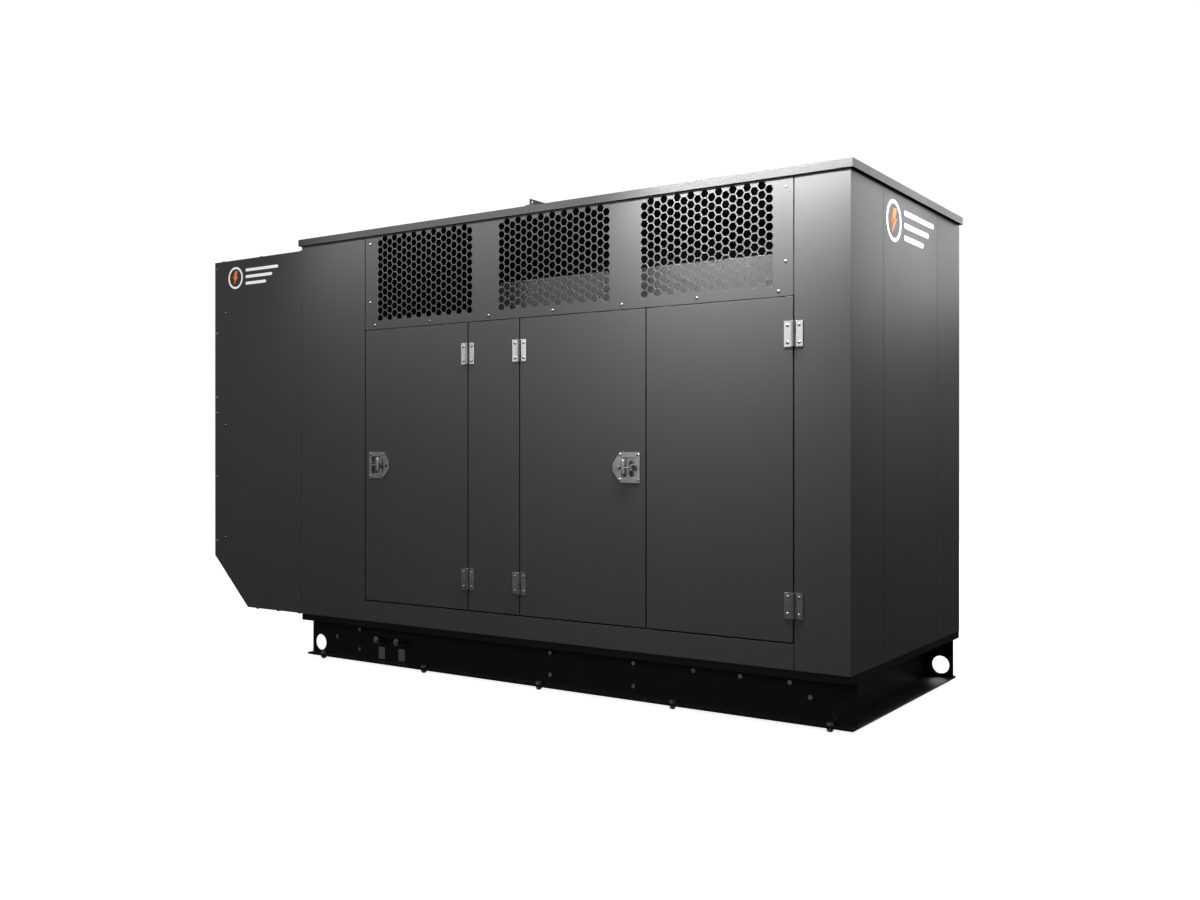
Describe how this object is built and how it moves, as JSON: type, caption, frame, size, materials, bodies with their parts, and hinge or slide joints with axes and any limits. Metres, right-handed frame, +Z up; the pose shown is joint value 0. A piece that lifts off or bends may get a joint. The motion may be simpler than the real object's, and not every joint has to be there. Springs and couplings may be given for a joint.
{
  "type": "standby generator",
  "caption": "Enclosed standby generator on a channel base, with three hinged doors, folding T-handle latches, hexagonal vents and a cut-cornered discharge hood.",
  "frame": {"origin": "middle of the four anchor holes, on the underside of the base flanges", "axes": "+X towards the plain end, away from the discharge hood; +Y from the door side to the rear; +Z up"},
  "size_m": [2.8785, 1.062, 1.701],
  "materials": {
    "charcoal_powder": "textured satin powder coat",
    "roof_powder": "textured satin powder coat",
    "black_base": "satin black paint",
    "stainless": "satin",
    "zinc_bolt": "zinc plated",
    "seal_rubber": "matt",
    "baffle_grey": "matt",
    "inner_black": "matt black paint",
    "radiator_black": "matt black",
    "cast_block": "engine paint over castings",
    "aluminium_cast": "cast",
    "machined_steel": "machined",
    "fan_plastic": "moulded",
    "hose_rubber": "matt",
    "filter_plastic": "moulded",
    "silencer_steel": "heat-tinted",
    "battery_case": "moulded",
    "control_grey": "satin paint",
    "stop_red": "gloss",
    "toggle_black": "moulded",
    "brass_fitting": "cast",
    "mark_white": "plain badge paint",
    "mark_orange": "plain badge paint"
  },
  "bodies": {
    "enclosure": {"air_cleaner": "filter_plastic", "alternator_casing": "cast_block", "base_bolts": "zinc_bolt", "base_cross_members": "black_base", "base_rail_front": "black_base", "base_rail_rear": "black_base", "base_tray": "black_base", "battery": "battery_case", "control_box": "control_grey", "coolant_hoses": "hose_rubber", "cylinder_head": "aluminium_cast", "door_seals": "seal_rubber", "drain_fittings": "zinc_bolt", "end_panel": "charcoal_powder", "engine_block": "cast_block", "exhaust_silencer": "silencer_steel", "fan_belt": "hose_rubber", "fan_shroud": "inner_black", "flywheel_housing": "aluminium_cast", "frame_hinge_leaves": "stainless", "front_centre_post": "charcoal_powder", "front_door_frame": "charcoal_powder", "front_left_corner_panel": "charcoal_powder", "front_right_corner_panel": "charcoal_powder", "front_sill": "charcoal_powder", "front_vent_panel": "charcoal_powder", "fuel_train": "brass_fitting", "hood_end_panels": "charcoal_powder", "hood_side_panels": "charcoal_powder", "hood_top_grille": "inner_black", "intake_baffle": "baffle_grey", "panel_screws": "stainless", "radiator": "radiator_black", "radiator_bulkhead": "inner_black", "rear_corner_panels": "charcoal_powder", "rear_service_panels": "charcoal_powder", "rear_vent_panel": "charcoal_powder", "roof_left": "roof_powder", "roof_right": "roof_powder", "roof_seam_cap": "roof_powder", "vibration_mounts": "seal_rubber"},
    "door_left": {"door_left_pan": "charcoal_powder", "door_left_hinge_leaves": "stainless", "latch_left_plate": "stainless"},
    "door_centre": {"door_centre_pan": "charcoal_powder", "door_centre_hinge_leaves": "stainless", "latch_centre_plate": "stainless"},
    "door_right": {"door_right_pan": "charcoal_powder", "door_right_hinge_leaves": "stainless"},
    "latch_left_spindle": {"latch_left_spindle": "stainless"},
    "latch_left_handle": {"latch_left_handle": "stainless"},
    "latch_centre_spindle": {"latch_centre_spindle": "stainless"},
    "latch_centre_handle": {"latch_centre_handle": "stainless"},
    "slide_bolt_top": {"slide_bolt_top": "machined_steel"},
    "slide_bolt_bottom": {"slide_bolt_bottom": "machined_steel"},
    "radiator_cap": {"radiator_cap": "aluminium_cast"},
    "cooling_fan": {"cooling_fan": "fan_plastic"},
    "crank_line": {"crank_line": "machined_steel"},
    "breaker_handle": {"breaker_handle": "toggle_black"},
    "emergency_stop_button": {"emergency_stop_button": "stop_red"}
  },
  "joints": [
    {"name": "door_left_swing", "type": "hinge", "parent": "enclosure", "child": "door_left", "pos_m": [-0.2875, -0.5215, 0.76425], "axis": [0, 0, 1], "range_deg": [0, 95]},
    {"name": "door_centre_swing", "type": "hinge", "parent": "enclosure", "child": "door_centre", "pos_m": [-0.0526, -0.5215, 0.76425], "axis": [0, 0, -1], "range_deg": [0, 95]},
    {"name": "door_right_swing", "type": "hinge", "parent": "enclosure", "child": "door_right", "pos_m": [0.9824, -0.5215, 0.76425], "axis": [0, 0, 1], "range_deg": [0, 160]},
    {"name": "latch_left_turn", "type": "hinge", "parent": "door_left", "child": "latch_left_spindle", "pos_m": [-0.7585, -0.5155, 0.7655], "axis": [0, -1, 0], "range_deg": [0, 90]},
    {"name": "latch_left_fold", "type": "hinge", "parent": "latch_left_spindle", "child": "latch_left_handle", "pos_m": [-0.7585, -0.5295, 0.7655], "axis": [0, 0, -1], "range_deg": [0, 90]},
    {"name": "latch_centre_turn", "type": "hinge", "parent": "door_centre", "child": "latch_centre_spindle", "pos_m": [0.4184, -0.5155, 0.7655], "axis": [0, 1, 0], "range_deg": [0, 90]},
    {"name": "latch_centre_fold", "type": "hinge", "parent": "latch_centre_spindle", "child": "latch_centre_handle", "pos_m": [0.4184, -0.5295, 0.7655], "axis": [0, 0, 1], "range_deg": [0, 90]},
    {"name": "slide_bolt_top_throw", "type": "slide", "parent": "door_right", "child": "slide_bolt_top", "axis": [0, 0, 1], "range_m": [0, 0.022]},
    {"name": "slide_bolt_bottom_throw", "type": "slide", "parent": "door_right", "child": "slide_bolt_bottom", "axis": [0, 0, -1], "range_m": [0, 0.022]},
    {"name": "radiator_cap_turn", "type": "hinge", "parent": "enclosure", "child": "radiator_cap", "pos_m": [-1.1115, 0, 1.37], "axis": [0, 0, -1], "range_deg": [0, 90]},
    {"name": "crank_turn", "type": "hinge", "parent": "enclosure", "child": "crank_line", "pos_m": [0, 0, 0.596], "axis": [1, 0, 0], "continuous": true},
    {"name": "fan_turn", "type": "hinge", "parent": "enclosure", "child": "cooling_fan", "pos_m": [0, 0, 0.826], "axis": [1, 0, 0], "continuous": true},
    {"name": "breaker_throw", "type": "hinge", "parent": "enclosure", "child": "breaker_handle", "pos_m": [0.5849, -0.3995, 1.088], "axis": [-1, 0, 0], "range_deg": [-25, 25]},
    {"name": "emergency_stop_press", "type": "slide", "parent": "enclosure", "child": "emergency_stop_button", "axis": [0, 1, 0], "range_m": [0, 0.006], "stiffness_N_per_m": 800}
  ],
  "couplings": [
    {"joint": "fan_turn", "follows": "crank_turn", "ratio": 1.2}
  ]
}
